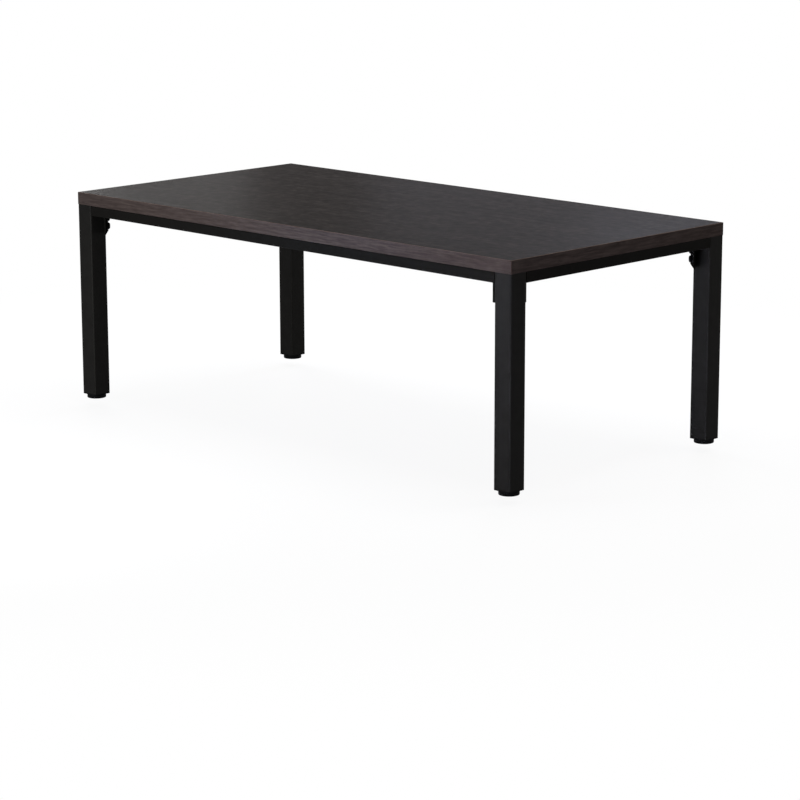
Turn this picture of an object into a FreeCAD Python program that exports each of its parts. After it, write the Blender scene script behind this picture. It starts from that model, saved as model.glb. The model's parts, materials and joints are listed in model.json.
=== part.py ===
import FreeCAD, Part
import math
import os
import re
import Sketcher
from FreeCAD import Placement, Rotation, Vector

# Low table: a laminated board on a steel frame of slim rails, with four bolted square legs and levelling feet.
# Millimetres. The origin is on the floor under the middle of the board, +X along the length, +Z up.
# Front is the long side towards -Y, right is the short side towards +X.

doc = FreeCAD.newDocument("low_table")
sheet = doc.addObject("Spreadsheet::Sheet", "Sizes")

# Driving sizes: alias, value, what it is
driving_sizes = [
    ("table_length", 1200, "over the edge bands, along X"),
    ("table_width", 600, "over the edge bands, along Y"),
    ("table_height", 430, "floor to the top surface, feet screwed home"),
    ("top_thickness", 25, "whole board with both laminates"),
    ("laminate_thickness", 0.8, "face and backing sheet, each"),
    ("band_thickness", 2, "edge band"),
    ("band_edge_radius", 1, "rounded arris of the edge bands"),
    ("leg_side", 40, "square tube of the legs"),
    ("leg_wall", 2, "wall of that tube"),
    ("leg_corner_radius", 3, "its outer corners"),
    ("leg_inner_radius", 1, "its inner corners"),
    ("rail_side", 20, "square tube of the rails"),
    ("rail_wall", 1.5, "wall of that tube"),
    ("rail_corner_radius", 2, "its outer corners"),
    ("rail_inner_radius", 0.5, "its inner corners"),
    ("leg_gap", 0.3, "room between a rail's end and the leg"),
    ("plate_thickness", 3, "corner plate"),
    ("plate_height", 60, "corner plate, from the board down"),
    ("bolt_diameter", 8, "leg bolt, outside its thread"),
    ("bolt_length", 20, "leg bolt, under its head"),
    ("bolt_tip_chamfer", 1, "leg bolt"),
    ("bolt_head_diameter", 14, "button head"),
    ("bolt_head_height", 4.4, "button head"),
    ("bolt_shoulder_diameter", 11.8, "button head, where its side turns in"),
    ("bolt_shoulder_height", 2.9, "button head, seat to that turn"),
    ("bolt_flat_diameter", 7.6, "button head, round its socket"),
    ("bolt_socket_across", 5, "hexagon socket, across its flats"),
    ("bolt_socket_depth", 2.6, "hexagon socket"),
    ("bolt_pitch", 17, "between the two bolts of a corner"),
    ("bolt_edge", 14.5, "plate's lower edge to the lower bolt"),
    ("bolt_hole_gap", 0.5, "round the bolt in plate and leg"),
    ("washer_thickness", 2, "spring washer"),
    ("washer_diameter", 12.7, "spring washer, outside"),
    ("washer_bore_gap", 0.2, "round the bolt"),
    ("washer_split", 1.2, "width of the washer's split"),
    ("nut_plate_thickness", 5, "threaded strip in the leg"),
    ("nut_plate_face", 14, "its narrow face, towards the corner"),
    ("nut_plate_edge", 12, "its end to the nearest bolt"),
    ("thread_gap", 0.05, "between plain thread cylinders"),
    ("screw_diameter", 5, "screw that holds the board"),
    ("screw_length", 16, "under its head"),
    ("screw_point", 3, "length of its point"),
    ("screw_head_diameter", 9, "pan head"),
    ("screw_head_height", 3, "pan head"),
    ("screw_head_bevel", 1.2, "pan head"),
    ("screw_hole_gap", 0.25, "round the screw in the rail"),
    ("screw_tip_room", 1, "pilot hole past the screw's tip"),
    ("access_diameter", 11, "hole under each screw for its head"),
    ("long_rail_screws", 3, "count"),
    ("long_rail_pitch", 420, "between those screws"),
    ("short_rail_screws", 2, "count"),
    ("short_rail_pitch", 260, "between those screws"),
    ("plug_flange", 2.5, "end plug, under the tube's end"),
    ("plug_depth", 24, "end plug, inside the tube"),
    ("plug_wall", 2, "end plug"),
    ("plug_web", 1.6, "end plug, between boss and wall"),
    ("plug_rib_height", 0.9, "ribs that grip the tube"),
    ("plug_rib_thickness", 1, "ribs that grip the tube"),
    ("plug_rib_pitch", 6, "ribs that grip the tube"),
    ("plug_ribs", 3, "count"),
    ("plug_fit", 0.05, "round what is pressed in"),
    ("bush_diameter", 13, "threaded bush in the plug"),
    ("bush_length", 15, "threaded bush"),
    ("bush_flange", 1.5, "its flange, under the plug"),
    ("pad_diameter", 39, "round foot pad"),
    ("pad_height", 7.6, "round foot pad"),
    ("pad_floor", 1.8, "under the stem's head"),
    ("pad_lower_bevel", 1.2, "pad's lower rim"),
    ("pad_upper_bevel", 0.6, "pad's upper rim"),
    ("pad_gap", 0.4, "pad to plug, screwed home"),
    ("stem_diameter", 8, "foot's stem, outside its thread"),
    ("stem_length", 30, "above the hexagon collar"),
    ("stem_tip_chamfer", 1, "foot's stem"),
    ("stem_head_diameter", 12, "round head that turns in the pad"),
    ("stem_head_height", 2, "that head"),
    ("stem_neck_diameter", 7, "between that head and the collar"),
    ("turn_gap", 0.05, "round the stem where it turns"),
    ("turn_play", 0.1, "above and below its head"),
    ("hex_across", 13, "hexagon collar, across its flats"),
    ("hex_height", 2.8, "hexagon collar"),
    ("hex_play", 0.3, "above and below the collar, screwed home"),
    ("hex_room", 0.6, "round the collar's corners in the plug"),
]
for row, (alias, number, note) in enumerate(driving_sizes, start=1):
    sheet.set(f"A{row}", alias)
    sheet.set(f"B{row}", str(number))
    sheet.setAlias(f"B{row}", alias)
    sheet.set(f"C{row}", note)
doc.recompute()
aliases = {alias for alias, number, note in driving_sizes}

# Derived places, as formulas of the sheet's aliases
underside = "(table_height - top_thickness)"
foot_height = "(pad_height + pad_gap)"
tube_bottom = f"({foot_height} + plug_flange)"
leg_x = "((table_length - leg_side) / 2)"
leg_y = "((table_width - leg_side) / 2)"
leg_bore = "(leg_side - 2 * leg_wall)"
lower_bolt = f"({underside} - plate_height + bolt_edge)"
bush_bottom = "(pad_height + 2 * hex_play + hex_height)"
recess_radius = "(hex_across / sqrt(3) + hex_room)"
# From a leg's axis along its inner diagonal: the tube's rounded edge, the threaded strip's outer face
leg_edge = "(leg_side / sqrt(2) - (sqrt(2) - 1) * leg_corner_radius)"
strip_face = f"({leg_bore} / sqrt(2) - nut_plate_face / 2)"

# A corner's name, its signs in X and Y, and the turn that points local +X+Y at the table's middle
corners = [
    ("front_left", -1, -1, 0),
    ("front_right", 1, -1, 90),
    ("back_right", 1, 1, 180),
    ("back_left", -1, 1, 270),
]
# A side's name, its outward direction and its turn from the front side
sides = [("front", 0, -1, 0), ("right", 1, 0, 90), ("back", 0, 1, 180), ("left", -1, 0, 270)]

up_axis = Vector(0, 0, 1)
nodes = []


def formula(text):
    """A formula of aliases as an expression of the sheet."""
    return re.sub(r"[a-z_]+", lambda word: f"Sizes.{word[0]}" if word[0] in aliases else word[0], text)


def value(text):
    return float(sheet.evalExpression(formula(text)))


def bind(item, path, text):
    item.setExpression(path, formula(text))


def move(item, across, along, height, rotation=None):
    """Places an object by formulas, with a fixed rotation."""
    item.Placement = Placement(Vector(), rotation or Rotation())
    for axis, text in zip("xyz", (across, along, height)):
        if text != "0":
            bind(item, f".Placement.Base.{axis}", text)


def node(item, label):
    item.Label = label
    nodes.append(item)
    return item


def new_body(name):
    return doc.addObject("PartDesign::Body", name)


def origin_part(body, role):
    return next(part for part in body.Origin.OriginFeatures if part.Role == role)


def sketch_on(body, plane, height="0"):
    sketch = body.newObject("Sketcher::SketchObject", "Sketch")
    sketch.AttachmentSupport = [(origin_part(body, plane), "")]
    sketch.MapMode = "FlatFace"
    if height != "0":
        bind(sketch, ".AttachmentOffset.Base.z", height)
    return sketch


def set_distance(sketch, kind, first, first_point, second, second_point, text):
    """A signed distance between two points of a sketch, bound to a formula."""
    name = f"size{sketch.ConstraintCount}"
    index = sketch.addConstraint(
        Sketcher.Constraint(kind, first, first_point, second, second_point, value(text))
    )
    sketch.renameConstraint(index, name)
    bind(sketch, f"Constraints.{name}", text)


def add_radius(sketch, curve, text):
    name = f"size{sketch.ConstraintCount}"
    index = sketch.addConstraint(Sketcher.Constraint("Radius", curve, value(text)))
    sketch.renameConstraint(index, name)
    bind(sketch, f"Constraints.{name}", text)


def rounded_square(sketch, side, radius):
    """A square with rounded corners, centred on the sketch's origin."""
    half, round_off = value(side) / 2, value(radius)
    reach = half - round_off
    arcs = []
    for quarter, (to_x, to_y) in enumerate([(1, 1), (-1, 1), (-1, -1), (1, -1)]):
        circle = Part.Circle(Vector(to_x * reach, to_y * reach, 0), up_axis, round_off)
        start = quarter * math.pi / 2
        arcs.append(sketch.addGeometry(Part.ArcOfCircle(circle, start, start + math.pi / 2)))
    ends = [(reach, half), (-half, reach), (-reach, -half), (half, -reach)]
    starts = [(-reach, half), (-half, -reach), (reach, -half), (half, reach)]
    for index, (start, end) in enumerate(zip(ends, starts)):
        line = sketch.addGeometry(Part.LineSegment(Vector(*start, 0), Vector(*end, 0)))
        next_arc = arcs[(index + 1) % 4]
        sketch.addConstraint(Sketcher.Constraint("Tangent", arcs[index], 2, line, 1))
        sketch.addConstraint(Sketcher.Constraint("Tangent", line, 2, next_arc, 1))
        level = "Vertical" if index % 2 else "Horizontal"
        sketch.addConstraint(Sketcher.Constraint(level, line))
    for arc in arcs[1:]:
        sketch.addConstraint(Sketcher.Constraint("Equal", arcs[0], arc))
    add_radius(sketch, arcs[0], radius)
    sketch.addConstraint(Sketcher.Constraint("Symmetric", arcs[0], 3, arcs[2], 3, -1, 1))
    span = f"{side} - 2 * {radius}"
    set_distance(sketch, "DistanceX", arcs[1], 3, arcs[0], 3, span)
    set_distance(sketch, "DistanceY", arcs[3], 3, arcs[0], 3, span)


def outline(sketch, points):
    """A closed outline of straight lines through points given as formulas."""
    places = [Vector(value(x), value(y), 0) for x, y in points]
    lines = []
    for start, end in zip(places, places[1:] + places[:1]):
        lines.append(sketch.addGeometry(Part.LineSegment(start, end)))
    for line, after in zip(lines, lines[1:] + lines[:1]):
        sketch.addConstraint(Sketcher.Constraint("Coincident", line, 2, after, 1))
    for line, (x, y) in zip(lines, points):
        for kind, text, axis in (("DistanceX", x, -2), ("DistanceY", y, -1)):
            if text == "0":
                sketch.addConstraint(Sketcher.Constraint("PointOnObject", line, 1, axis))
            else:
                set_distance(sketch, kind, -1, 1, line, 1, text)


def square(sketch, side):
    """A sharp square, centred on the sketch's origin."""
    half = f"{side} / 2"
    outline(sketch, [(half, half), (f"-{half}", half), (f"-{half}", f"-{half}"), (half, f"-{half}")])


def circle(sketch, across, along, radius):
    centre = Vector(value(across), value(along), 0)
    ring = sketch.addGeometry(Part.Circle(centre, up_axis, value(radius)))
    add_radius(sketch, ring, radius)
    for kind, text, axis in (("DistanceX", across, -2), ("DistanceY", along, -1)):
        if text == "0":
            sketch.addConstraint(Sketcher.Constraint("PointOnObject", ring, 3, axis))
        else:
            set_distance(sketch, kind, -1, 1, ring, 3, text)


def pad(body, sketch, length, midplane=False):
    feature = body.newObject("PartDesign::Pad", "Pad")
    feature.Profile = sketch
    feature.Midplane = midplane
    bind(feature, "Length", length)
    return feature


def revolve(body, sketch, axis):
    feature = body.newObject("PartDesign::Revolution", "Revolution")
    feature.Profile = sketch
    feature.ReferenceAxis = (sketch, [axis])
    feature.Angle = 360
    return feature


def primitive(body, kind, place, rotation=None, **formulas):
    """An additive or subtractive primitive of a body, with its sizes and place as formulas."""
    feature = body.newObject(f"PartDesign::{kind}", kind)
    for name, text in formulas.items():
        bind(feature, name, text)
    move(feature, *place, rotation)
    return feature


def pattern(body, originals, axis, length, count):
    """Copies of features in a row along an axis of the body."""
    row = body.newObject("PartDesign::LinearPattern", "LinearPattern")
    row.Originals = originals
    row.Direction = (origin_part(body, axis), [""])
    bind(row, "Length", length)
    bind(row, "Occurrences", count)
    body.Tip = row


def round_edges(body, base, radius, chosen):
    """Fillets the edges of a feature whose middle point the test picks."""
    doc.recompute()
    edges = base.Shape.Edges
    names = [f"Edge{number}" for number, edge in enumerate(edges, start=1) if chosen(edge)]
    fillet = body.newObject("PartDesign::Fillet", "Fillet")
    fillet.Base = (base, names)
    bind(fillet, "Radius", radius)
    body.Tip = fillet
    return fillet


def at_corner(item, corner, along, height):
    """Places an object at a leg, its local +X along the diagonal to the table's middle."""
    name, to_x, to_y, turn = corner
    across = f"{to_x} * ({leg_x} - {along} / sqrt(2))"
    depth = f"{to_y} * ({leg_y} - {along} / sqrt(2))"
    move(item, across, depth, height, Rotation(up_axis, turn + 45))


def on_leg_axis(item, corner, height):
    """Places an object on a leg's axis, squared up with the leg."""
    name, to_x, to_y, turn = corner
    move(item, f"{to_x} * {leg_x}", f"{to_y} * {leg_y}", height, Rotation(up_axis, turn))


def group(label, copies):
    """Identical fasteners as one node of separate solids."""
    row = doc.addObject("Part::Compound", label)
    row.Links = copies
    return node(row, label)


def copy_of(master):
    link = doc.addObject("App::Link", "Copy")
    link.LinkedObject = master
    return link


def rail_rows():
    """Each rail's side, its free length between the legs, its screws' pitch and their count's alias."""
    for side in sides:
        long_side = side[0] in ("front", "back")
        overall = "table_length" if long_side else "table_width"
        kind = "long_rail" if long_side else "short_rail"
        yield side, f"({overall} - 2 * leg_side - 2 * leg_gap)", f"{kind}_pitch", f"{kind}_screws"


def screw_places():
    """Where the board's screws stand, as formulas in X and Y."""
    for (name, to_x, to_y, turn), length, pitch, count in rail_rows():
        number = int(value(count))
        for index in range(number):
            step = f"{index - (number - 1) / 2} * {pitch}"
            if to_y:
                yield step, f"{to_y} * (table_width - rail_side) / 2"
            else:
                yield f"{to_x} * (table_length - rail_side) / 2", step


def board_layer(label, bottom, height, pierced=None):
    """A flat layer of the board inside the edge bands, with blind pilot holes if pierced."""
    layer = doc.addObject("Part::Box", "Layer")
    bind(layer, "Length", "table_length - 2 * band_thickness")
    bind(layer, "Width", "table_width - 2 * band_thickness")
    bind(layer, "Height", height)
    move(layer, "band_thickness - table_length / 2", "band_thickness - table_width / 2", bottom)
    if pierced is None:
        return node(layer, label)
    drills = []
    for x, y in screw_places():
        drill = doc.addObject("Part::Cylinder", "Drill")
        bind(drill, "Radius", "screw_diameter / 2 + thread_gap")
        bind(drill, "Height", pierced)
        move(drill, x, y, underside)
        drills.append(drill)
    holes = doc.addObject("Part::Compound", "PilotHoles")
    holes.Links = drills
    cut = doc.addObject("Part::Cut", "PiercedLayer")
    cut.Base, cut.Tool = layer, holes
    return node(cut, label)


def top_panel():
    pilot_depth = "screw_length - rail_wall + screw_tip_room"
    core_bottom = f"{underside} + laminate_thickness"
    board_layer("top_core", core_bottom, "top_thickness - 2 * laminate_thickness", pilot_depth)
    board_layer("top_face_sheet", "table_height - laminate_thickness", "laminate_thickness")
    board_layer("top_backing_sheet", underside, "laminate_thickness", pilot_depth)


def edge_band(side):
    """A band along one side. The front and back bands run over the ends of the other two."""
    name, to_x, to_y, turn = side
    covering = bool(to_y)
    length = "table_length" if covering else "(table_width - 2 * band_thickness)"
    body = new_body("EdgeBand")
    sizes = {"Length": length, "Width": "band_thickness", "Height": "top_thickness"}
    strip = primitive(body, "AdditiveBox", (f"-{length} / 2", "-1 * band_thickness", "0"), **sizes)
    outer = -value("band_thickness")
    end = value(length) / 2

    def arris(edge):
        box = edge.BoundBox
        flat = box.ZLength < box.XLength or box.ZLength < box.YLength
        if not covering:
            return flat and box.YMax < outer / 2 and box.XLength > end
        at_end = box.XMin > end / 2 or box.XMax < -end / 2
        return box.YMax < outer / 2 or (at_end and box.YMin < outer / 2)

    round_edges(body, strip, "band_edge_radius", arris)
    inner_x = f"{to_x} * (table_length / 2 - band_thickness)"
    inner_y = f"{to_y} * (table_width / 2 - band_thickness)"
    move(body, inner_x, inner_y, underside, Rotation(up_axis, turn))
    node(body, f"edge_band_{name}")


def rail(side, length, pitch, count):
    """A square tube with screw holes in its upper wall and wider access holes under them."""
    name, to_x, to_y, turn = side
    body = new_body("Rail")
    section = sketch_on(body, "YZ_Plane")
    rounded_square(section, "rail_side", "rail_corner_radius")
    rounded_square(section, "(rail_side - 2 * rail_wall)", "rail_inner_radius")
    pad(body, section, length, midplane=True)
    drilled = []
    radii = {True: "screw_diameter / 2 + screw_hole_gap", False: "access_diameter / 2"}
    for upwards, radius in radii.items():
        spot = sketch_on(body, "XY_Plane")
        circle(spot, f"(1 - {count}) / 2 * {pitch}", "0", radius)
        pocket = body.newObject("PartDesign::Pocket", "Pocket")
        pocket.Profile = spot
        pocket.Reversed = upwards
        bind(pocket, "Length", "rail_side")
        drilled.append(pocket)
    doc.recompute()
    pattern(body, drilled, "X_Axis", f"({count} - 1) * {pitch}", count)
    across = f"{to_x} * (table_length - rail_side) / 2"
    along = f"{to_y} * (table_width - rail_side) / 2"
    move(body, across, along, f"{underside} - rail_side / 2", Rotation(up_axis, turn))
    node(body, f"rail_{name}")


def mitred_plate(body, depth, face, height):
    """An upright plate whose ends are mitred at 45 degrees, from its narrow face at X = 0 to a wide one."""
    half = f"({face} / 2)"
    wide = f"({half} + abs({depth}))"
    section = sketch_on(body, "XY_Plane")
    outline(section, [("0", half), ("0", f"-{half}"), (depth, f"-{wide}"), (depth, wide)])
    pad(body, section, height)


def corner_plate(corner):
    """Welded between the inner faces of two rails, flat against the leg's rounded inner edge."""
    body = new_body("CornerPlate")
    face = f"(2 * ({leg_edge} - sqrt(2) * (rail_side - leg_side / 2)))"
    mitred_plate(body, "plate_thickness", face, "plate_height")
    for level in ("bolt_edge", "(bolt_edge + bolt_pitch)"):
        sizes = {"Radius": "bolt_diameter / 2 + bolt_hole_gap", "Height": "plate_thickness"}
        primitive(body, "SubtractiveCylinder", ("0", "0", level), Rotation(0, 90, 0), **sizes)
    at_corner(body, corner, leg_edge, f"{underside} - plate_height")
    node(body, f"corner_plate_{corner[0]}")


def leg(corner):
    """A square tube up to the board, drilled twice through its inner corner on the diagonal."""
    body = new_body("Leg")
    section = sketch_on(body, "XY_Plane")
    rounded_square(section, "leg_side", "leg_corner_radius")
    rounded_square(section, leg_bore, "leg_inner_radius")
    pad(body, section, f"{underside} - {tube_bottom}")
    for level in (lower_bolt, f"({lower_bolt} + bolt_pitch)"):
        sizes = {"Radius": "bolt_diameter / 2 + bolt_hole_gap", "Height": "leg_side / sqrt(2)"}
        place = ("0", "0", f"{level} - {tube_bottom}")
        primitive(body, "SubtractiveCylinder", place, Rotation(45, 90, 0), **sizes)
    on_leg_axis(body, corner, tube_bottom)
    node(body, f"leg_{corner[0]}")


def nut_plate(corner):
    """A threaded strip welded across the leg's inner corner, its mitred ends on the tube's walls."""
    body = new_body("NutPlate")
    height = "(bolt_pitch + 2 * nut_plate_edge)"
    mitred_plate(body, "-1 * nut_plate_thickness", "nut_plate_face", height)
    for level in ("nut_plate_edge", "(nut_plate_edge + bolt_pitch)"):
        sizes = {"Radius": "bolt_diameter / 2 + thread_gap", "Height": "nut_plate_thickness"}
        place = ("-1 * nut_plate_thickness", "0", level)
        primitive(body, "SubtractiveCylinder", place, Rotation(0, 90, 0), **sizes)
    at_corner(body, corner, strip_face, f"{lower_bolt} - nut_plate_edge")
    node(body, f"nut_plate_{corner[0]}")


def end_plug(corner):
    """A plastic plug: flange under the tube, hollow ribbed body in it, boss on webs for the bush."""
    body = new_body("EndPlug")
    flange = sketch_on(body, "XY_Plane")
    rounded_square(flange, "leg_side", "leg_corner_radius")
    pad(body, flange, "plug_flange")
    outside = f"({leg_bore} - 2 * (plug_fit + plug_rib_height))"
    inside = f"({outside} - 2 * plug_wall)"
    wall = sketch_on(body, "XY_Plane", "plug_flange")
    square(wall, outside)
    square(wall, inside)
    pad(body, wall, "plug_depth")
    rib = sketch_on(body, "XY_Plane", "plug_flange + plug_rib_pitch")
    rounded_square(rib, f"({leg_bore} - 2 * plug_fit)", "leg_inner_radius")
    square(rib, inside)
    ring = pad(body, rib, "plug_rib_thickness")
    doc.recompute()
    pattern(body, [ring], "Z_Axis", "(plug_ribs - 1) * plug_rib_pitch", "plug_ribs")
    boss = {"Radius": f"{recess_radius} + plug_wall", "Height": "plug_flange + plug_depth"}
    primitive(body, "AdditiveCylinder", ("0", "0", "0"), **boss)
    for turn in (0, 90):
        web = {"Length": inside, "Width": "plug_web", "Height": "plug_flange + plug_depth"}
        corner_x, corner_y = f"-{inside} / 2", "-1 * plug_web / 2"
        place = (corner_x, corner_y, "0") if turn == 0 else (f"plug_web / 2", corner_x, "0")
        primitive(body, "AdditiveBox", place, Rotation(up_axis, turn), **web)
    bore = {"Radius": "bush_diameter / 2 + plug_fit", "Height": "plug_flange + plug_depth"}
    primitive(body, "SubtractiveCylinder", ("0", "0", "0"), **bore)
    recess = {"Radius": recess_radius, "Height": f"{bush_bottom} + bush_flange - {foot_height}"}
    primitive(body, "SubtractiveCylinder", ("0", "0", "0"), **recess)
    on_leg_axis(body, corner, foot_height)
    node(body, f"end_plug_{corner[0]}")


def foot_bush(corner):
    """A threaded bush with a flange below that carries the plug."""
    body = new_body("FootBush")
    bore, outer = "(stem_diameter / 2 + turn_gap)", "(bush_diameter / 2)"
    rim = f"({recess_radius} - plug_fit)"
    half = sketch_on(body, "XZ_Plane")
    points = [
        (bore, "0"),
        (rim, "0"),
        (rim, "bush_flange"),
        (outer, "bush_flange"),
        (outer, "bush_length"),
        (bore, "bush_length"),
    ]
    outline(half, points)
    revolve(body, half, "V_Axis")
    on_leg_axis(body, corner, bush_bottom)
    node(body, f"foot_bush_{corner[0]}")


def foot_stem(corner):
    """A threaded stem with a hexagon collar, and a round head that turns in the pad."""
    body = new_body("FootStem")
    thread, neck, head = "(stem_diameter / 2)", "(stem_neck_diameter / 2)", "(stem_head_diameter / 2)"
    head_bottom = "(pad_floor + turn_play)"
    head_top = f"({head_bottom} + stem_head_height)"
    collar = "(pad_height + hex_play)"
    top = f"({collar} + hex_height + stem_length)"
    half = sketch_on(body, "XZ_Plane")
    points = [
        ("0", head_bottom),
        (head, head_bottom),
        (head, head_top),
        (neck, head_top),
        (neck, collar),
        (thread, collar),
        (thread, f"{top} - stem_tip_chamfer"),
        (f"{thread} - stem_tip_chamfer", top),
        ("0", top),
    ]
    outline(half, points)
    revolve(body, half, "V_Axis")
    hexagon = {"Circumradius": "hex_across / sqrt(3)", "Height": "hex_height"}
    primitive(body, "AdditivePrism", ("0", "0", collar), **hexagon)
    on_leg_axis(body, corner, "0")
    node(body, f"foot_stem_{corner[0]}")


def foot_pad(corner):
    """A round plastic pad, clipped over the stem's head and free to turn on it."""
    body = new_body("FootPad")
    outer, lip = "(pad_diameter / 2)", "(stem_neck_diameter / 2 + turn_gap)"
    pocket = "(stem_head_diameter / 2 + turn_gap)"
    pocket_top = "(pad_floor + stem_head_height + 2 * turn_play)"
    half = sketch_on(body, "XZ_Plane")
    points = [
        ("0", "0"),
        (f"{outer} - pad_lower_bevel", "0"),
        (outer, "pad_lower_bevel"),
        (outer, "pad_height - pad_upper_bevel"),
        (f"{outer} - pad_upper_bevel", "pad_height"),
        (lip, "pad_height"),
        (lip, pocket_top),
        (pocket, pocket_top),
        (pocket, "pad_floor"),
        ("0", "pad_floor"),
    ]
    outline(half, points)
    revolve(body, half, "V_Axis")
    on_leg_axis(body, corner, "0")
    node(body, f"foot_pad_{corner[0]}")


def bolt_master():
    """A button-head bolt along X: its head's seat at X = 0, its shank towards -X."""
    body = new_body("Bolt")
    shank, head = "(bolt_diameter / 2)", "(bolt_head_diameter / 2)"
    half = sketch_on(body, "XZ_Plane")
    points = [
        ("-1 * bolt_length", "0"),
        ("-1 * bolt_length", f"{shank} - bolt_tip_chamfer"),
        ("bolt_tip_chamfer - bolt_length", shank),
        ("0", shank),
        ("0", head),
        ("bolt_shoulder_height", "bolt_shoulder_diameter / 2"),
        ("bolt_head_height", "bolt_flat_diameter / 2"),
        ("bolt_head_height", "0"),
    ]
    outline(half, points)
    revolve(body, half, "H_Axis")
    socket = {"Circumradius": "bolt_socket_across / sqrt(3)", "Height": "bolt_socket_depth"}
    place = ("bolt_head_height - bolt_socket_depth", "0", "0")
    primitive(body, "SubtractivePrism", place, Rotation(0, 90, 0), **socket)
    return body


def washer_master():
    """A spring washer along X, seated at X = 0, with a slanting split."""
    body = new_body("Washer")
    flat = sketch_on(body, "YZ_Plane")
    circle(flat, "0", "0", "washer_diameter / 2")
    circle(flat, "0", "0", "bolt_diameter / 2 + washer_bore_gap")
    pad(body, flat, "washer_thickness")
    split = {"Length": "2 * washer_thickness", "Width": "washer_split", "Height": "washer_diameter"}
    place = ("-1 * washer_thickness / 2", "-1 * washer_split / 2", "0")
    primitive(body, "SubtractiveBox", place, Rotation(up_axis, 20), **split)
    return body


def screw_master():
    """A pan-head board screw along Z: its head's seat at Z = 0, its point up."""
    body = new_body("Screw")
    shank, head = "(screw_diameter / 2)", "(screw_head_diameter / 2)"
    half = sketch_on(body, "XZ_Plane")
    points = [
        ("0", "-1 * screw_head_height"),
        (f"{head} - screw_head_bevel", "-1 * screw_head_height"),
        (head, "screw_head_bevel - screw_head_height"),
        (head, "0"),
        (shank, "0"),
        (shank, "screw_length - screw_point"),
        ("0", "screw_length"),
    ]
    outline(half, points)
    revolve(body, half, "V_Axis")
    return body


def fasteners():
    bolt, washer, screw = bolt_master(), washer_master(), screw_master()
    bolts, washers, screws = [], [], []
    plate_face = f"({leg_edge} + plate_thickness)"
    for corner in corners:
        for level in (lower_bolt, f"({lower_bolt} + bolt_pitch)"):
            bolts.append(copy_of(bolt))
            at_corner(bolts[-1], corner, f"({plate_face} + washer_thickness)", level)
            washers.append(copy_of(washer))
            at_corner(washers[-1], corner, plate_face, level)
    for x, y in screw_places():
        screws.append(copy_of(screw))
        move(screws[-1], x, y, f"{underside} - rail_wall")
    group("leg_bolts", bolts)
    group("spring_washers", washers)
    group("top_screws", screws)


def check_and_export():
    """Stops if an object failed, a cut took nothing away or a node isn't sound. Then writes the nodes."""
    doc.recompute()
    for item in doc.Objects:
        if {"Invalid", "Error"} & set(item.State):
            raise RuntimeError(f"{item.Name} ({item.Label}) is {item.State}")
        if item.TypeId.startswith(("PartDesign::Pocket", "PartDesign::Subtractive")):
            if item.Shape.Volume >= item.BaseFeature.Shape.Volume:
                raise RuntimeError(f"{item.Name} cuts nothing")
    for item in nodes:
        if item.Shape.isNull() or not item.Shape.isValid():
            raise RuntimeError(f"{item.Label} isn't a valid shape")
    os.makedirs("parts", exist_ok=True)
    for item in nodes:
        item.Shape.exportStep(f"parts/{item.Label}.step")
        print(f"{item.Label}: {len(item.Shape.Solids)} solids, {item.Shape.Volume:.1f} mm3")


top_panel()
for side in sides:
    edge_band(side)
for row in rail_rows():
    rail(*row)
for corner in corners:
    corner_plate(corner)
    leg(corner)
    nut_plate(corner)
    end_plug(corner)
    foot_bush(corner)
    foot_stem(corner)
    foot_pad(corner)
fasteners()
check_and_export()
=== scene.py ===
import json
import math

import bmesh
import bpy
import numpy as np
from mathutils import Matrix, Vector


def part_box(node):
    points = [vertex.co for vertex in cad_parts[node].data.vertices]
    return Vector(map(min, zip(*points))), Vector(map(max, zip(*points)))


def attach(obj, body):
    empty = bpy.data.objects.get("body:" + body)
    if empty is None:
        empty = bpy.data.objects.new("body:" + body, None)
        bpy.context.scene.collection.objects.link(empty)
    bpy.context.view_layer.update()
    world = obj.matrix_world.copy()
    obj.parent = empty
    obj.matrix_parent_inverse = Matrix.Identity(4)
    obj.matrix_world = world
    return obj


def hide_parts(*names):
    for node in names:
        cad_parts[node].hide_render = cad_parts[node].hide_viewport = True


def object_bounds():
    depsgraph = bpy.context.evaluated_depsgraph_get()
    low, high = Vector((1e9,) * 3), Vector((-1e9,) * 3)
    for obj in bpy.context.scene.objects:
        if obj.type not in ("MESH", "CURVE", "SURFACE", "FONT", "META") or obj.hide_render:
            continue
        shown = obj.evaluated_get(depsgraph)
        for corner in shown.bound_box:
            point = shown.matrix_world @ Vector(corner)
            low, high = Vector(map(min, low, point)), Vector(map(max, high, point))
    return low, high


# Low table: a dark wood-grain board on a black steel frame, bolted square legs, levelling feet.
# Metres, in the model's own axes: +X along the board, its front towards -Y, the floor at z = 0.

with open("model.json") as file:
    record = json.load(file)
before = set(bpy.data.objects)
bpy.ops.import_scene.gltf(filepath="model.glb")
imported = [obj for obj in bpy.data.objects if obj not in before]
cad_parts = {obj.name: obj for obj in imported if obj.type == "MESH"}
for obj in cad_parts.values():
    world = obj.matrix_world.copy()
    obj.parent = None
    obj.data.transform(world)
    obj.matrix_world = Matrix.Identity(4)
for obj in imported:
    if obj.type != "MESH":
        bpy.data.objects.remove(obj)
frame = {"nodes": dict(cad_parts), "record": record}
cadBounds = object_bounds()
nodes = frame["nodes"]
mm = 0.001
print("frame loaded,", len(nodes), "nodes")

# name, sign in x, sign in y
corners = [("front_left", -1, -1), ("front_right", 1, -1), ("back_right", 1, 1), ("back_left", -1, 1)]
legAxis = {}
for name, toX, toY in corners:
    low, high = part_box("leg_" + name)
    legAxis[name] = ((low.x + high.x) / 2, (low.y + high.y) / 2)


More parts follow.
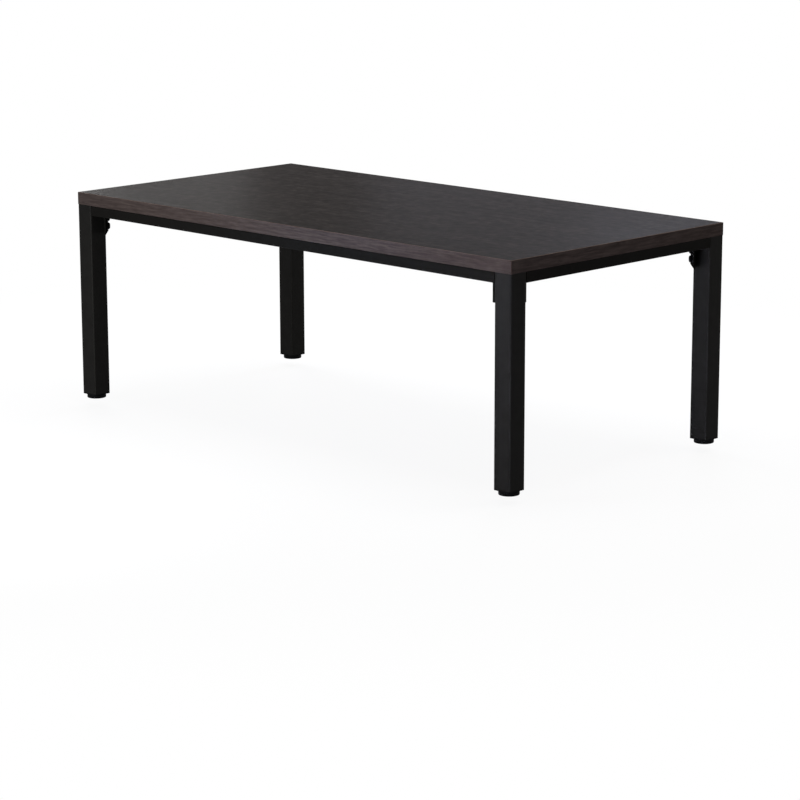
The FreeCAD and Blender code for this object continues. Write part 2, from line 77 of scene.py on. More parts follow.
# Camera: at the table from its front right and above, a long lens about 5.5 m away
camera = {
    "place": (3.84430, -3.87590, 1.25937),
    "turn": 44.540,      # degrees, from looking along +Y towards -X
    "down": 12.610,      # degrees below level
    "tilt": -0.108,      # degrees
    "lens": 125.44,      # mm
    "frame": 36,         # mm, its width
    "reach": 200,        # m
}
eye = bpy.data.cameras.new("camera")
eye.lens = camera["lens"]
eye.sensor_width = camera["frame"]
eye.clip_end = camera["reach"]
eyeObject = bpy.data.objects.new("camera", eye)
bpy.context.scene.collection.objects.link(eyeObject)
eyeObject.matrix_world = (
    Matrix.Translation(camera["place"])
    @ Matrix.Rotation(math.radians(camera["turn"]), 4, "Z")
    @ Matrix.Rotation(math.radians(90 - camera["down"]), 4, "X")
    @ Matrix.Rotation(math.radians(camera["tilt"]), 4, "Z")
)
bpy.context.scene.camera = eyeObject
bpy.context.scene.view_settings.view_transform = "Standard"


def linear(hexText):
    # an sRGB hex colour as linear red, green, blue and alpha
    share = np.array([int(hexText[at:at + 2], 16) for at in (1, 3, 5)]) / 255
    low, high = share / 12.92, ((share + 0.055) / 1.055) ** 2.4
    return (*np.where(share <= 0.04045, low, high).tolist(), 1.0)


def addNode(tree, kind, inputs=None, stops=None, **settings):
    # adds a node; an input is a value or the socket that feeds it; stops are a ramp's (place, colour)
    node = tree.nodes.new("ShaderNode" + kind)
    for name, setting in settings.items():
        setattr(node, name, setting)
    for name, given in (inputs or {}).items():
        if isinstance(given, bpy.types.NodeSocket):
            tree.links.new(given, node.inputs[name])
        else:
            node.inputs[name].default_value = given
    if stops:
        ramp = node.color_ramp.elements
        while len(ramp) < len(stops):
            ramp.new(0.5)
        for element, (place, colour) in zip(ramp, stops):
            element.position = place
            element.color = linear(colour)
    return node


def newMaterial(name):
    # an empty node material with an output: material, tree, output, object coordinates
    material = bpy.data.materials.new(name)
    material.use_nodes = True
    tree = material.node_tree
    tree.nodes.clear()
    output = addNode(tree, "OutputMaterial")
    where = addNode(tree, "TexCoord").outputs["Object"]
    return material, tree, output, where


# Board: high pressure laminate with a printed and pressed wood grain along X. The eye sees fine
# straight fibres in near-black brown, short open pores, and a soft satin sheen at low angles.
wood = {
    "dark": "#201d1c",
    "middle": "#2b2827",
    "pale": "#393533",
    "pore": "#171513",
    "bandDark": "#3b332f",
    "bandMiddle": "#463d39",
    "bandPale": "#524843",
    "toneStops": (0.36, 0.5, 0.64),
    # Noise drawn out along the grain: width and length of its cells in mm, detail, roughness, offset
    "fibres": (3.0, 40, 4.0, 0.65, (3.1, 7.7, 1.3)),   # bundles; a single fibre is too fine to show
    "figure": (14, 16, 2.0, 0.5, (6.4, 2.8, 7.9)),     # the cloudy figure under the fibres
    "streaks": (24, 400, 2.0, 0.5, (11.2, 4.9, 8.4)),  # broad and darker
    "pores": (1.0, 12, 1.0, 0.4, (5.3, 9.1, 2.2)),
    "distortion": 0.3,
    "figureShare": 0.35,      # how much of the board's tone the figure gives
    "bandFigureShare": 0.15,  # and of the bands'
    "streakShare": 0.15,      # and the streaks of both
    "poreFrom": (0.66, 0.76), # where a cell starts to be a pore, and where it is all pore
    "poreShare": 0.6,         # how dark a pore is on the board
    "bandPoreShare": 0.3,     # and on the bands
    "relief": 0.05,           # mm, depth of the pressed grain
    "reliefStrength": 0.6,
    "roughness": 0.42,
    "smoother": 0.05,         # between the fibres
    "rougher": 0.07,          # on them
    "ior": 1.5,
    "specular": 0.0005,
    "glueLine": 0.3,          # mm, dark seam where the edge band meets the laminate
    "paintedEdgeHighlight": "#6b5a52",     # painted highlight along the band's top edge and down the board's corners
    "edgeHighlightWidth": 1.0,         # mm
    "edgeHighlightShare": 0.35,
}


def woodGrain(name, tones, alongY=False, board=False):
    material, tree, output, where = newMaterial(name)
    place = addNode(tree, "SeparateXYZ", {"Vector": where})

    def past(axis, limit):
        # 1 where a coordinate lies further out than limit, in metres
        away = addNode(tree, "Math", {0: place.outputs[axis]}, operation="ABSOLUTE")
        return addNode(tree, "Math", {0: away.outputs[0], 1: limit}, operation="GREATER_THAN").outputs[0]

    if alongY:
        where = addNode(tree, "Mapping", {"Vector": where, "Rotation": (0, 0, math.pi / 2)}).outputs[0]

    def noise(width, length, detail, roughness, offset):
        size = (1 / (length * mm), 1 / (width * mm), 1 / (width * mm))
        at = addNode(tree, "Mapping", {"Vector": where, "Scale": size, "Location": offset})
        return addNode(tree, "TexNoise", {
            "Vector": at.outputs[0], "Scale": 1.0, "Detail": detail, "Roughness": roughness,
            "Distortion": wood["distortion"]}).outputs["Fac"]

    fibres, figure = noise(*wood["fibres"]), noise(*wood["figure"])
    streaks, cells = noise(*wood["streaks"]), noise(*wood["pores"])
    figureShare = wood["figureShare" if board else "bandFigureShare"]
    mottled = addNode(tree, "Mix", {"Factor": figureShare, "A": fibres, "B": figure})
    tone = addNode(tree, "Mix", {
        "Factor": wood["streakShare"], "A": mottled.outputs[0], "B": streaks})
    colour = addNode(tree, "ValToRGB", {"Fac": tone.outputs[0]}, stops=[
        (stop, wood[key]) for stop, key in zip(wood["toneStops"], tones)])
    pores = addNode(tree, "MapRange", {
        "Value": cells, "From Min": wood["poreFrom"][0], "From Max": wood["poreFrom"][1],
        "To Min": 0.0, "To Max": wood["poreShare" if board else "bandPoreShare"]})
    surface = addNode(tree, "Mix", {
        "Factor": pores.outputs[0], "A": colour.outputs["Color"], "B": linear(wood["pore"])},
        data_type="RGBA").outputs["Result"]
    if board:
        # the dark glue line where the bands meet the laminate
        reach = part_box("top_face_sheet")[1]
        width = wood["glueLine"] * mm
        line = addNode(tree, "Math", {
            0: past("X", reach.x - width), 1: past("Y", reach.y - width)}, operation="MAXIMUM").outputs[0]
        lineColour, lineShare = wood["pore"], 1.0
    else:
        # a painted highlight along the band's top edge and down the board's corners, for the light their
        # arrises catch
        reach = cadBounds[1]
        width = wood["edgeHighlightWidth"] * mm
        corner = addNode(tree, "Math", {
            0: past("X", reach[0] - width), 1: past("Y", reach[1] - width)}, operation="MULTIPLY")
        line = addNode(tree, "Math", {
            0: corner.outputs[0], 1: past("Z", reach[2] - width)}, operation="MAXIMUM").outputs[0]
        # the painted highlight's colour and how strongly it is laid on
        lineColour, lineShare = wood["paintedEdgeHighlight"], wood["edgeHighlightShare"]
    share = addNode(tree, "Math", {0: line, 1: lineShare}, operation="MULTIPLY")
    surface = addNode(tree, "Mix", {
        "Factor": share.outputs[0], "A": surface, "B": linear(lineColour)},
        data_type="RGBA").outputs["Result"]
    sheen = addNode(tree, "MapRange", {
        "Value": fibres, "From Min": 0.3, "From Max": 0.7,
        "To Min": wood["roughness"] - wood["smoother"], "To Max": wood["roughness"] + wood["rougher"]})
    depth = addNode(tree, "Math", {0: fibres, 1: pores.outputs[0]}, operation="SUBTRACT")
    relief = addNode(tree, "Bump", {
        "Height": depth.outputs[0], "Strength": wood["reliefStrength"], "Distance": wood["relief"] * mm})
    shader = addNode(tree, "BsdfPrincipled", {
        "Base Color": surface, "Roughness": sheen.outputs[0], "Normal": relief.outputs[0],
        "IOR": wood["ior"], "Specular IOR Level": wood["specular"]})
    tree.links.new(shader.outputs[0], output.inputs[0])
    return material


# What the plain finishes share
plain = {
    "broad": 40,             # times the grit, the size of the clouds over it
    "broadDetail": 2.0,
    "broadShare": 0.4,
    "toneStops": (0.35, 0.65),
    "sheen": 0.06,           # how far the roughness goes up and down
    "bump": 0.5,
    "flatFrom": (0.97, 0.88), # the largest part of the normal, where a rounded corner starts, and is full
}


def plainFinish(
        name, tones, grit, roughness, relief, metallic=0.0, specular=0.5, chips=False, cornerHighlight=None):
    # a finish of two close tones: cells of grit mm give the tone, the roughness and the relief (mm);
    # an optional paler tone goes on rounded corners, where no part of the normal comes near 1: a painted
    # highlight
    material, tree, output, where = newMaterial(name)
    kind = "TexVoronoi" if chips else "TexNoise"
    cells = addNode(tree, kind, {"Vector": where, "Scale": 1 / (grit * mm)})
    broad = addNode(tree, "TexNoise", {
        "Vector": where, "Scale": 1 / (grit * plain["broad"] * mm), "Detail": plain["broadDetail"]})
    fine = cells.outputs["Distance" if chips else "Fac"]
    both = addNode(tree, "Mix", {"Factor": plain["broadShare"], "A": fine, "B": broad.outputs["Fac"]})
    tone = addNode(
        tree, "ValToRGB", {"Fac": both.outputs[0]}, stops=list(zip(plain["toneStops"], tones))
    ).outputs["Color"]
    sheen = addNode(tree, "MapRange", {
        "Value": both.outputs[0], "From Min": 0.3, "From Max": 0.7,
        "To Min": roughness - plain["sheen"], "To Max": roughness + plain["sheen"]})
    # painted highlight: rounded corners take a paler tone, as if they caught the light
    if cornerHighlight:
        facing = addNode(tree, "TexCoord").outputs["Normal"]
        most = addNode(tree, "VectorMath", {0: facing}, operation="ABSOLUTE")
        parts = addNode(tree, "SeparateXYZ", {"Vector": most.outputs[0]})
        flat = addNode(tree, "Math", {0: parts.outputs["X"], 1: parts.outputs["Y"]}, operation="MAXIMUM")
        flat = addNode(tree, "Math", {0: flat.outputs[0], 1: parts.outputs["Z"]}, operation="MAXIMUM")
        curved = addNode(tree, "MapRange", {
            "Value": flat.outputs[0], "From Min": plain["flatFrom"][0], "From Max": plain["flatFrom"][1],
            "To Min": 0.0, "To Max": 1.0})
        tone = addNode(tree, "Mix", {
            "Factor": curved.outputs[0], "A": tone, "B": linear(cornerHighlight)}, data_type="RGBA").outputs["Result"]
    bump = addNode(tree, "Bump", {"Height": fine, "Strength": plain["bump"], "Distance": relief * mm})
    inputs = {
        "Base Color": tone, "Roughness": sheen.outputs[0],
        "Normal": bump.outputs[0], "Metallic": metallic}
    if not metallic:
        inputs["Specular IOR Level"] = specular
    shader = addNode(tree, "BsdfPrincipled", inputs)
    tree.links.new(shader.outputs[0], output.inputs[0])
    return material


finishes = {
    # Powder coat baked on steel: even, near black, with a fine orange peel that breaks up its sheen,
    # and a paler tone on the tubes' rounded corners: a painted highlight for the light they catch
    "black_steel": {
        "name": "powderCoatedSteel", "tones": ("#171614", "#1e1d1b"), "cornerHighlight": "#252421",
        "grit": 0.5, "relief": 0.02, "roughness": 0.38, "specular": 0.02},
    # The same coat on the rails, duller, and with darker tones: painted shade under the board's overhang
    "railCoatPaintedShade": {
        "name": "powderCoatedSteelRailPaintedShade", "tones": ("#12110f", "#181715"),
        "grit": 0.5, "relief": 0.02, "roughness": 0.5, "specular": 0.01},
    # The same coat again on the corner plates, quite matt, and with darker tones: painted shade in the
    # inside corner under the board
    "plateCoatPaintedShade": {
        "name": "powderCoatedSteelPlatePaintedShade", "tones": ("#12110f", "#181715"),
        "grit": 0.5, "relief": 0.02, "roughness": 0.6, "specular": 0.0},
    # Moulded polyamide with the fine matt texture of a spark-eroded mould
    "black_plastic": {
        "name": "mouldedPolyamide", "tones": ("#0b0b0b", "#111111"),
        "grit": 0.35, "relief": 0.012, "roughness": 0.55, "specular": 0.02},
    # Bright zinc plate: cool, slightly clouded metal
    "zinc_steel": {
        "name": "zincPlatedSteel", "tones": ("#a9adb3", "#c9ccd0"),
        "grit": 2.5, "relief": 0.004, "roughness": 0.32, "metallic": 1.0},
    # Black oxide on the bolts and washers: a dark oiled skin with a soft glint
    "black_screws": {
        "name": "blackOxidisedSteel", "tones": ("#141415", "#1d1d1f"),
        "grit": 0.8, "relief": 0.006, "roughness": 0.4, "specular": 0.01},
    # Plain phenolic backing sheet, matt and even
    "backing_laminate": {
        "name": "phenolicBacking", "tones": ("#211d1b", "#2b2623"),
        "grit": 0.8, "relief": 0.01, "roughness": 0.62, "specular": 0.02},
    # Pressed chipboard: pale flakes, seen only in the pilot holes
    "chipboard": {
        "name": "pressedChipboard", "tones": ("#8a6c47", "#c9a878"), "chips": True,
        "grit": 3.0, "relief": 0.2, "roughness": 0.8, "specular": 0.2},
    # Bare mild steel inside the legs
    "bare_steel": {
        "name": "mildSteel", "tones": ("#5f6164", "#808287"),
        "grit": 1.5, "relief": 0.01, "roughness": 0.45, "metallic": 1.0},
}
materials = {key: plainFinish(**look) for key, look in finishes.items()}
bandTones = ("bandDark", "bandMiddle", "bandPale")
materials["wood_laminate"] = woodGrain("woodgrainLaminate", ("dark", "middle", "pale"), board=True)
materials["bandLong"] = woodGrain("woodgrainEdgeBandLong", bandTones)
materials["bandShort"] = woodGrain("woodgrainEdgeBandShort", bandTones, alongY=True)

bandMaterial = {"front": "bandLong", "back": "bandLong", "left": "bandShort", "right": "bandShort"}
slotOf = {part["node"]: part["material_slot"] for part in frame["record"]["subparts"]}
for name, node in nodes.items():
    key = slotOf[name]
    if name.startswith("edge_band"):
        key = bandMaterial[name.rsplit("_", 1)[1]]
    # the rails take the darker copy of the coat: painted shade under the board
    if name.startswith("rail_"):
        key = "railCoatPaintedShade"
    # the corner plates take the darker copy of the coat: painted shade in the inside corner
    if name.startswith("corner_plate_"):
        key = "plateCoatPaintedShade"
    node.data.materials.clear()
    node.data.materials.append(materials[key])
print("finishes set on", len(nodes), "nodes")


def gridPart(points):
    # points[i, j] are joined to their neighbours in i and j; j closes on itself, and the first and
    # last rows are closed with one face each
    rows, columns = points.shape[:2]
    index = np.arange(rows * columns).reshape(rows, columns)
    here, after = index[:-1], index[1:]
    quads = np.stack([here, np.roll(here, -1, 1), np.roll(after, -1, 1), after], -1).reshape(-1, 4)
    return points.reshape(-1, 3), quads.tolist() + [index[0, ::-1].tolist(), index[-1].tolist()]


def addPiece(name, parts, materialName, body, replaced=(), sharp=32, mergeWithin=1e-7):
    # one object of several closed parts, smooth but for edges over sharp degrees
    corner, faces, start = [], [], 0
    for vertices, partFaces in parts:
        corner.append(vertices)
        faces += [[at + start for at in face] for face in partFaces]
        start += len(vertices)
    mesh = bpy.data.meshes.new(name)
    mesh.from_pydata(np.concatenate(corner).tolist(), [], faces)
    work = bmesh.new()
    work.from_mesh(mesh)
    bmesh.ops.remove_doubles(work, verts=work.verts, dist=mergeWithin)
    bmesh.ops.recalc_face_normals(work, faces=work.faces)
    work.to_mesh(mesh)
    work.free()
    mesh.polygons.foreach_set("use_smooth", np.ones(len(mesh.polygons), bool))
    mesh.set_sharp_from_angle(angle=math.radians(sharp))
    mesh.materials.append(materials[materialName])
    piece = bpy.data.objects.new(name, mesh)
    bpy.context.scene.collection.objects.link(piece)
    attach(piece, body)
    if replaced:
        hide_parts(*replaced)


def around(segments):
    # the angles of a turned part's points
    return np.linspace(0, 2 * math.pi, segments, endpoint=False)


def turned(heights, radii, across):
    # points round an axis: row i stands at heights[i] with radii[i, j] at the angles across[j]
    radii = np.broadcast_to(np.asarray(radii, float), (len(heights), len(across)))
    return np.stack([
        radii * np.cos(across), radii * np.sin(across),
        np.broadcast_to(np.asarray(heights, float)[:, None], radii.shape)], -1)


def placed(part, origin, axis, turn=0.0):
    # turns a part's +Z to axis, spins it by turn first, and moves it to origin
    vertices, faces = part
    rotation = Vector(axis).to_track_quat("Z", "Y").to_matrix() @ Matrix.Rotation(turn, 3, "Z")
    return vertices @ np.array(rotation).T + np.array(origin), faces


def hexagonRadius(acrossFlats, angles):
    # distance from the centre to a regular hexagon's side in each direction
    step = math.pi / 3
    return acrossFlats / 2 / np.cos((angles + step / 2) % step - step / 2)


def arc(centre, radius, start, end, count):
    # points (radius, height) on an arc, from start to end degrees
    angle = np.radians(np.linspace(start, end, count))
    return np.stack([centre[0] + radius * np.cos(angle), centre[1] + radius * np.sin(angle)], -1)


# Leg bolts: button heads with a hexagon socket. Lengths in mm; the seats lie 32.04 mm from the
# leg's axis, and each bolt is left turned by its own angle.
bolt = {
    "seat": 32.04, "levels": (359.5, 376.5), "turnByLevel": 0.35, "segments": 60,
    "head": 14.0, "height": 4.4, "rim": 0.7, "rimBevel": 0.3, "flat": 7.4,
    "domeRows": 9, "domeFall": 1.7, "domeRise": 1.05,
    "socket": 5.0, "socketDepth": 2.6, "socketBevel": 0.2, "socketMouth": 1.08,
    "socketPoint": 0.6, "socketEnd": 0.15,
    "shank": 8.0, "length": 20.0, "tip": 1.0,
}


def boltPart():
    # rows run from the shank's tip over the seat and the dome into the hexagon socket. Along the
    # dome, the radius falls from the head's to the flat's as sweep ** domeFall while the height
    # rises as the sine of a quarter turn ** domeRise
    angles = around(bolt["segments"])
    even = np.ones(len(angles))
    head, shank, flat = bolt["head"] / 2, bolt["shank"] / 2, bolt["flat"] / 2
    sweep = np.linspace(0, 1, bolt["domeRows"])
    domeR = head - (head - flat) * sweep ** bolt["domeFall"]
    domeZ = bolt["rim"] + (bolt["height"] - bolt["rim"]) * np.sin(sweep * math.pi / 2) ** bolt["domeRise"]
    rows = [
        (-bolt["length"], shank - bolt["tip"]), (-bolt["length"] + bolt["tip"], shank), (0, shank),
        (0, head - bolt["rimBevel"]), (bolt["rimBevel"], head), (bolt["rim"], head)]
    rows = [(z, even * r) for z, r in rows + list(zip(domeZ[1:], domeR[1:]))]
    socket = hexagonRadius(bolt["socket"], angles)
    top, bottom = bolt["height"], bolt["height"] - bolt["socketDepth"]
    rows += [
        (top, socket * bolt["socketMouth"]), (top - bolt["socketBevel"], socket), (bottom, socket),
        (bottom - bolt["socketPoint"], socket * bolt["socketEnd"])]
    heights, radii = zip(*rows)
    return gridPart(turned(np.array(heights) * mm, np.array(radii) * mm, angles))


boltParts = []
for name, toX, toY in corners:
    inward = np.array([-toX, -toY, 0]) / math.sqrt(2)
    for level in bolt["levels"]:
        seat = np.array([*legAxis[name], level * mm]) + inward * bolt["seat"] * mm
        boltParts.append(placed(boltPart(), seat, inward, turn=bolt["turnByLevel"] * level))
addPiece("legBoltsButtonHead", boltParts, "black_screws", "table", ["leg_bolts"])
print("leg bolts made")

# Board screws: pan heads with a cross recess, seen from below in the rails' access holes (mm)
screw = {
    "head": 9.0, "height": 3.0, "round": 1.5, "roundRows": 7, "segments": 64, "turnStep": 1.1,
    "arm": 2.3, "armWidth": 0.62, "recess": 1.7,
    "recessMiddle": 0.6, "recessMiddleSize": 0.75, "recessEndSize": 0.3,
    "shank": 5.0, "length": 16.0, "point": 3.0, "tipFlat": 0.2,
    "pitch": 1.8, "thread": 0.7, "ridge": 0.28, "rowsPerTurn": 8,
}


def crossRadius(arm, width, angles):
    # distance from the centre to the outline of a cross with four arms, in each direction
    nearest = (angles + math.pi / 4) % (math.pi / 2) - math.pi / 4
    return np.minimum(arm / np.cos(nearest), width / np.maximum(np.abs(np.sin(nearest)), 1e-6))


def screwPart():
    # rows run from the recess out over the pan head to the seat, then up the shank, whose thread is
    # a ridge that climbs one pitch a turn and tapers off at the point
    angles = around(screw["segments"])
    even = np.ones(len(angles))
    head, low, corner = screw["head"] / 2, -screw["height"], screw["round"]
    crest = screw["shank"] / 2
    core = crest - screw["thread"]
    cross = crossRadius(screw["arm"], screw["armWidth"], angles)
    rows = [
        (low + screw["recess"], cross * screw["recessEndSize"]),
        (low + screw["recess"] * screw["recessMiddle"], cross * screw["recessMiddleSize"]),
        (low, cross), (low, even * (head - corner))]
    rows += [
        (z, even * r) for r, z in arc((head - corner, low + corner), corner, -90, 0, screw["roundRows"])[1:]]
    rows += [(0, even * head), (0, even * crest)]
    count = int((screw["length"] - screw["point"]) / screw["pitch"] * screw["rowsPerTurn"])
    for z in np.linspace(0, screw["length"] - screw["tipFlat"], count):
        phase = (z / screw["pitch"] - angles / (2 * math.pi)) % 1
        ridge = np.clip(1 - np.abs(phase - 0.5) / screw["ridge"], 0, 1)
        taper = min(1.0, (screw["length"] - z) / screw["point"])
        rows.append((z, (core + (crest - core) * ridge) * taper if z > 0 else even * core))
    heights, radii = zip(*rows)
    return gridPart(turned(np.array(heights) * mm, np.array(radii) * mm, angles))


def screwPlaces(within=1e-5, decimals=4):
    # each screw's x and y, from the node's topmost points: one for every screw's tip
    node = nodes["top_screws"].data
    points = np.empty(len(node.vertices) * 3, np.float32)
    node.vertices.foreach_get("co", points)
    flat = points.reshape(-1, 3)
    tips = flat[flat[:, 2] > flat[:, 2].max() - within][:, :2]
    return np.unique(np.round(tips, decimals), axis=0)


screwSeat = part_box("top_screws")[1].z - screw["length"] * mm
screwParts = [
    placed(screwPart(), (x, y, screwSeat), (0, 0, 1), turn=index * screw["turnStep"])
    for index, (x, y) in enumerate(screwPlaces())]
addPiece("boardScrewsPanHead", screwParts, "zinc_steel", "table", ["top_screws"])
print("board screws made:", len(screwParts))

# Levelling feet: threaded stem with a hexagon collar, and a moulded pad that it turns in (mm)
foot = {
    "head": 12.0, "headLow": 1.9, "headTop": 3.9, "headBevel": 0.3, "neck": 7.0, "segments": 48,
    "collarLow": 7.9, "collarHeight": 2.8, "acrossFlats": 13.0, "collarBevel": 0.5, "collarRound": 0.35,
    "thread": 8.0, "threadDepth": 0.65, "threadTop": 40.7, "tip": 1.0, "pitch": 1.25,
    "rowsPerTurn": 6, "ridgeTop": 1.25, "ridgeSlope": 3, "runIn": 0.8,
    "padDiameter": 39.0, "padHeight": 7.6, "padSegments": 96,
    "padLowRound": 1.2, "padLowRows": 6, "padTopRound": 0.7, "padTopRows": 5,
    "padFloor": 1.8, "padFloorFrom": 1.0, "padPocket": 6.05, "padPocketTop": 4.0,
    "padLip": 3.55, "padLipBevel": 0.4,
    "soleRise": 0.5, "soleFrom": 3.0, "soleIn": 6.2, "soleOut": 5.4,
}


def stemPart():
    # rows run up from the round head over the neck and the hexagon collar to the thread, whose
    # flat-topped ridge climbs one pitch a turn, starts above the collar and ends in the bevelled tip
    angles = around(foot["segments"])
    even = np.ones(len(angles))
    head, neck, bevel = foot["head"] / 2, foot["neck"] / 2, foot["headBevel"]
    low, high = foot["collarLow"], foot["collarLow"] + foot["collarHeight"]
    flats = hexagonRadius(foot["acrossFlats"], angles)
    bevelled = np.minimum(flats, foot["acrossFlats"] / 2 + foot["collarRound"])
    crest, root = foot["thread"] / 2, foot["thread"] / 2 - foot["threadDepth"]
    rows = [
        (foot["headLow"], even * (head - bevel)), (foot["headLow"] + bevel, even * head),
        (foot["headTop"], even * head), (foot["headTop"], even * neck),
        (low, even * neck), (low, bevelled), (low + foot["collarBevel"], flats),
        (high - foot["collarBevel"], flats), (high, bevelled), (high, even * root)]
    top = foot["threadTop"]
    for z in np.linspace(high, top, int((top - high) / foot["pitch"] * foot["rowsPerTurn"])):
        phase = (z / foot["pitch"] - angles / (2 * math.pi)) % 1
        ridge = np.clip(foot["ridgeTop"] - np.abs(phase - 0.5) * foot["ridgeSlope"], 0, 1)
        room = np.clip((z - high) / foot["runIn"], 0, 1)
        limit = crest - max(0.0, z - (top - foot["tip"]))
        rows.append((z, np.minimum(root + (crest - root) * ridge * room, limit)))
    heights, radii = zip(*rows)
    return gridPart(turned(np.array(heights) * mm, np.array(radii) * mm, angles))


def padPart():
    # a turned profile: recessed sole, rounded rims, lip and pocket round the stem's head
    angles = around(foot["padSegments"])
    outer, top = foot["padDiameter"] / 2, foot["padHeight"]
    lowRound, topRound = foot["padLowRound"], foot["padTopRound"]
    lip, pocket, bevel = foot["padLip"], foot["padPocket"], foot["padLipBevel"]
    profile = np.concatenate([
        [(foot["soleFrom"], foot["soleRise"]), (outer - foot["soleIn"], foot["soleRise"]),
         (outer - foot["soleOut"], 0.0)],
        arc((outer - lowRound, lowRound), lowRound, -90, 0, foot["padLowRows"]),
        arc((outer - topRound, top - topRound), topRound, 0, 90, foot["padTopRows"]),
        [(lip + bevel, top), (lip, top - bevel), (lip, foot["padPocketTop"]),
         (pocket, foot["padPocketTop"]), (pocket, foot["padFloor"]),
         (foot["padFloorFrom"], foot["padFloor"])],
    ])
    return gridPart(turned(profile[:, 1] * mm, profile[:, :1] * mm, angles))


for name, axis in legAxis.items():
    addPiece(
        "threadedStem_" + name, [placed(stemPart(), (*axis, 0), (0, 0, 1))], "zinc_steel",
        "stem_" + name, ["foot_stem_" + name], sharp=25)
    addPiece(
        "mouldedPad_" + name, [placed(padPart(), (*axis, 0), (0, 0, 1))], "black_plastic",
        "pad_" + name, ["foot_pad_" + name])
print("levelling feet made")

# Weld beads: between each corner plate and the inner faces of its two rails (mm)
weld = {
    "plateInner": 30.04, "inset": 0.6, "leg": 3.6, "low": 386.0, "high": 404.0,
    "ripple": 1.5, "rippleDepth": 0.16, "rippleShape": 0.6, "phases": (1.7, 2.3, 1),
    "end": 0.14, "endSize": 0.02, "segments": 16, "rows": 70, "sharp": 60,
}


def beadPart(centre, phaseStart):
    # an upright bead: a round section whose size swells once a ripple, drawn in at both ends to a
    # quarter of an ellipse
    share = np.linspace(0, 1, weld["rows"])
    heights = weld["low"] + (weld["high"] - weld["low"]) * share
    phase = (heights - weld["low"]) / weld["ripple"] * 2 * math.pi + phaseStart
    swell = 1 - weld["rippleDepth"] * np.abs(np.sin(phase / 2)) ** weld["rippleShape"]
    inEnd = np.clip(np.abs(share - 0.5) * 2 - (1 - weld["end"]), 0, 1)
    drawn = np.sqrt(np.clip(1 - inEnd ** 2 / weld["end"] ** 2, weld["endSize"], 1))
    angles = around(weld["segments"])
    radii = weld["leg"] / 2 * (swell * drawn)[:, None] * np.ones(len(angles))
    vertices, faces = gridPart(turned(heights * mm, radii * mm, angles))
    return vertices + np.array([centre[0], centre[1], 0]), faces


beads = []
reach, inset = weld["plateInner"] * math.sqrt(2) * mm, weld["inset"] * mm
first, second, later = weld["phases"]
for index, (name, toX, toY) in enumerate(corners):
    x, y = legAxis[name]
    beads.append(beadPart((x - toX * (reach + inset), y - toY * inset), index * first))
    beads.append(beadPart((x - toX * inset, y - toY * (reach + inset)), index * second + later))
addPiece("weldBeads", beads, "black_steel", "table", sharp=weld["sharp"])
print("weld beads made")


# Stage: a pale floor that keeps a faint shadow, and a white surround. The floor lies where the
# feet reach when they are screwed right out, so that no pose sinks into it.
stage = {
    "floorLevel": -0.0155, "floorSize": 60.0, "bounce": "#7c7c7c", "floorColour": "#f4f4f4",
    "shadowShare": 0.1, "shadowFade": (0.6, 1.8),  # m from the middle, where it starts to fade and ends
    "surround": 0.12, "surroundColour": "#e9edf2",
}


def seenBy(tree):
    # 1 for what the camera, a reflection or a transmission looks at, 0 for scattered light
    path = addNode(tree, "LightPath")
    first = addNode(tree, "Math", {
        0: path.outputs["Is Camera Ray"], 1: path.outputs["Is Glossy Ray"]}, operation="MAXIMUM")
    return addNode(tree, "Math", {
        0: first.outputs[0], 1: path.outputs["Is Transmission Ray"]}, operation="MAXIMUM").outputs[0]


floorMaterial, tree, output, where = newMaterial("paleFloor")
bounce = addNode(tree, "BsdfDiffuse", {"Color": linear(stage["bounce"])})
away = addNode(tree, "VectorMath", {0: where}, operation="LENGTH").outputs["Value"]
share = addNode(tree, "MapRange", {
    "Value": away, "From Min": stage["shadowFade"][0], "From Max": stage["shadowFade"][1],
    "To Min": stage["shadowShare"], "To Max": 0.0}, interpolation_type="SMOOTHSTEP").outputs[0]
shown = addNode(tree, "MixShader", {
    "Fac": share, 1: addNode(tree, "Emission", {"Strength": 1.0}).outputs[0],
    2: addNode(tree, "BsdfDiffuse", {"Color": linear(stage["floorColour"])}).outputs[0]})
front = addNode(tree, "MixShader", {"Fac": seenBy(tree), 1: bounce.outputs[0], 2: shown.outputs[0]})
back = addNode(tree, "BsdfTransparent")
side = addNode(tree, "NewGeometry").outputs["Backfacing"]
both = addNode(tree, "MixShader", {"Fac": side, 1: front.outputs[0], 2: back.outputs[0]})
tree.links.new(both.outputs[0], output.inputs[0])
half, level = stage["floorSize"] / 2, stage["floorLevel"]
floorMesh = bpy.data.meshes.new("floor")
floorMesh.from_pydata([
    (-half, -half, level), (half, -half, level), (half, half, level), (-half, half, level)],
    [], [(0, 1, 2, 3)])
floorMesh.materials.append(floorMaterial)
floor = bpy.data.objects.new("floor", floorMesh)
bpy.context.scene.collection.objects.link(floor)

world = bpy.data.worlds.new("studio")
world.use_nodes = True
bpy.context.scene.world = world
tree = world.node_tree
tree.nodes.clear()
lit = addNode(tree, "Background", {
    "Color": linear(stage["surroundColour"]), "Strength": stage["surround"]})
white = addNode(tree, "Background", {"Color": (1, 1, 1, 1), "Strength": 1.0})
mixed = addNode(tree, "MixShader", {"Fac": seenBy(tree), 1: lit.outputs[0], 2: white.outputs[0]})
tree.links.new(mixed.outputs[0], addNode(tree, "OutputWorld").inputs[0])

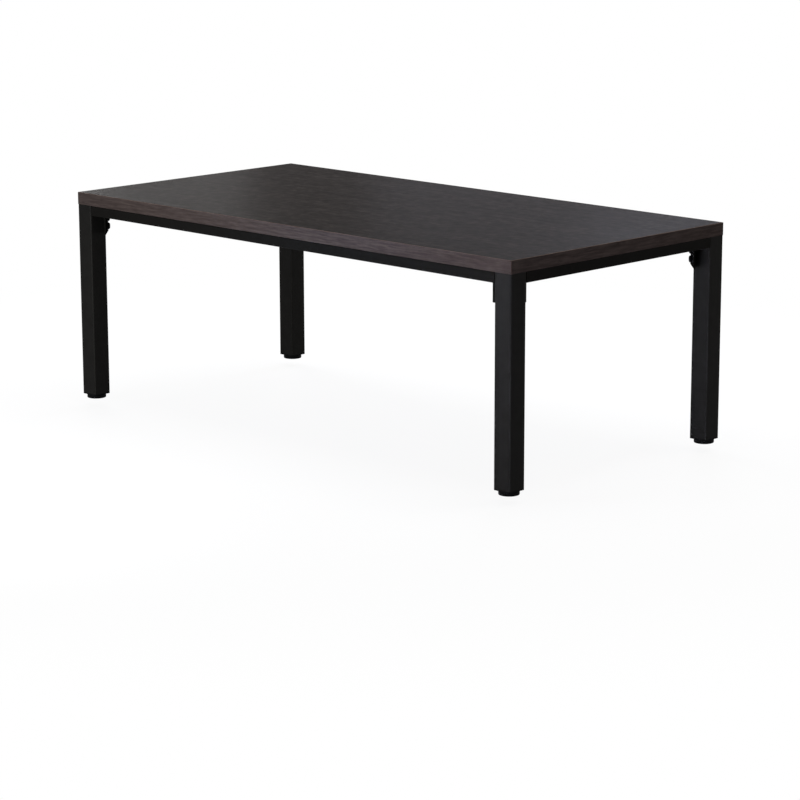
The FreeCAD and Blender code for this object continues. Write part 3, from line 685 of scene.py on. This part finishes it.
# Lamps: name, place, what it is aimed at, size, spread in degrees (180 without a grid), power in
# watts, colour. The low softboxes light the frame, and the panels behind give the board its sheen.
middle = (0.0, 0.0, 0.3)
lamps = [
    ("frontSoftbox", (-0.2, -1.3, 0.25), middle, (0.6, 0.25), 180, 11.0, "#f4f6ff"),
    ("bandGridbox", (0.2, -1.1, 0.4), (0.15, -0.3, 0.42), (0.3, 0.1), 60, 0.44, "#a8c8ff"),
    ("legGridbox", (1.3, -3.4, 0.35), (0.6, 0.2, 0.2), (0.6, 0.4), 16, 1.4, "#dce2ff"),
    ("backSoftbox", (-0.1, 1.5, 0.25), middle, (0.8, 0.25), 180, 3.0, "#ffffff"),
    ("leftSoftbox", (-1.9, 0.0, 0.25), middle, (0.6, 0.25), 180, 3.0, "#ffffff"),
    ("topSoftbox", (0.0, 0.0, 2.8), middle, (2.4, 1.8), 180, 50, "#ffffff"),
    ("rightSoftbox", (1.2, 0.8, 1.8), middle, (1.2, 1.2), 180, 8.7, "#fff6ea"),
    ("leftPanel", (-1.6, 0.7, 0.75), middle, (0.6, 0.4), 180, 6.1, "#ffffff"),
    ("leftEndPanel", (-1.8, 0.4, 0.75), middle, (0.6, 0.4), 180, 6.9, "#ffffff"),
    ("backLeftPanel", (-1.15, 1.45, 0.8), middle, (0.5, 0.4), 180, 3.0, "#e6ebff"),
    ("backPanel", (-0.6, 1.6, 0.95), middle, (0.5, 0.3), 180, 10.9, "#e6ebff"),
    ("backEndPanel", (0.0, 1.2, 0.8), middle, (0.8, 0.5), 180, 2.0, "#e6ebff"),
]
for name, place, aim, size, spread, power, colour in lamps:
    light = bpy.data.lights.new(name, "AREA")
    light.shape = "RECTANGLE"
    light.size, light.size_y = size
    light.spread = math.radians(spread)
    light.energy = power
    light.color = linear(colour)[:3]
    lamp = bpy.data.objects.new(name, light)
    bpy.context.scene.collection.objects.link(lamp)
    lamp.visible_camera = False
    lamp.location = place
    lamp.rotation_euler = (Vector(aim) - Vector(place)).to_track_quat("-Z", "Y").to_euler()
print("stage, surround and lamps set")
